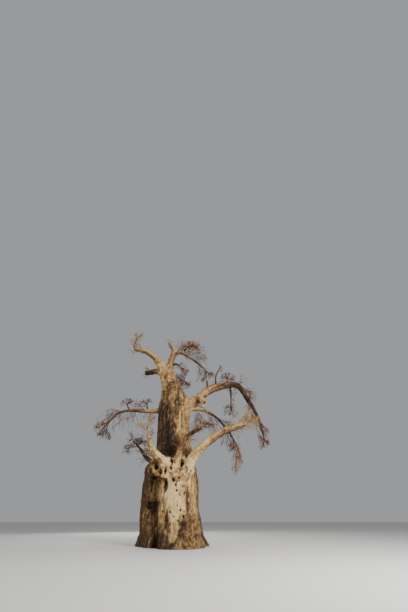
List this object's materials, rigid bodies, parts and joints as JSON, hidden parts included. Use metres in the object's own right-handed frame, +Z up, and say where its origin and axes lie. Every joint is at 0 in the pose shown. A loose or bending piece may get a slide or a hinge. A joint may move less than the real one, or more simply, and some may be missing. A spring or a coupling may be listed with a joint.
{
  "type": "baobab tree",
  "caption": "Bare, leafless baobab with a swollen, fused trunk, stout tapering boughs and sprays of fine twigs.",
  "frame": {"origin": "middle of the flat cut under the trunk, at ground level", "axes": "+Z up the trunk; -Y towards the side that the picture shows; +X to its right"},
  "size_m": [9.2189, 5.771, 10.1173],
  "materials": {
    "trunk_bark": "matt, wrinkled bark",
    "bough_bark": "matt bark, smooth where peeled",
    "twigs": "matt"
  },
  "bodies": {
    "root": {"trunk": "trunk_bark", "bough_front_left": "bough_bark", "bough_front_centre": "bough_bark", "bough_front_right": "bough_bark", "bough_high_right": "bough_bark", "bough_high_right_drooping": "bough_bark", "stub_under_high_right": "bough_bark", "bough_middle_right": "bough_bark", "bough_long_left": "bough_bark", "bough_top_left": "bough_bark", "bough_top_centre": "bough_bark", "bough_top_arc": "bough_bark", "spur_top_right": "bough_bark", "bough_top_under": "bough_bark", "stub_top_left": "bough_bark", "spur_crest_outer": "bough_bark", "spur_crest_inner": "bough_bark", "spur_crest_tip": "bough_bark", "bough_hanging": "bough_bark", "spur_long_left_inner": "bough_bark", "spur_long_left_outer": "bough_bark", "bough_back_left": "bough_bark", "bough_back_right": "bough_bark", "bough_back_middle": "bough_bark", "bough_back_top": "bough_bark", "twigs_front_left": "twigs", "twigs_front_centre": "twigs", "twigs_front_right": "twigs", "twigs_high_right": "twigs", "twigs_middle_right": "twigs", "twigs_long_left": "twigs", "twigs_top_left": "twigs", "twigs_top_centre": "twigs", "twigs_top_right": "twigs", "twigs_top_arc": "twigs", "twigs_top_under": "twigs", "twigs_crest": "twigs", "twigs_hanging": "twigs", "twigs_long_left_inner": "twigs", "twigs_long_left_outer": "twigs", "twigs_back_left": "twigs", "twigs_back_right": "twigs", "twigs_back_middle": "twigs", "twigs_back_top": "twigs"}
  },
  "joints": []
}
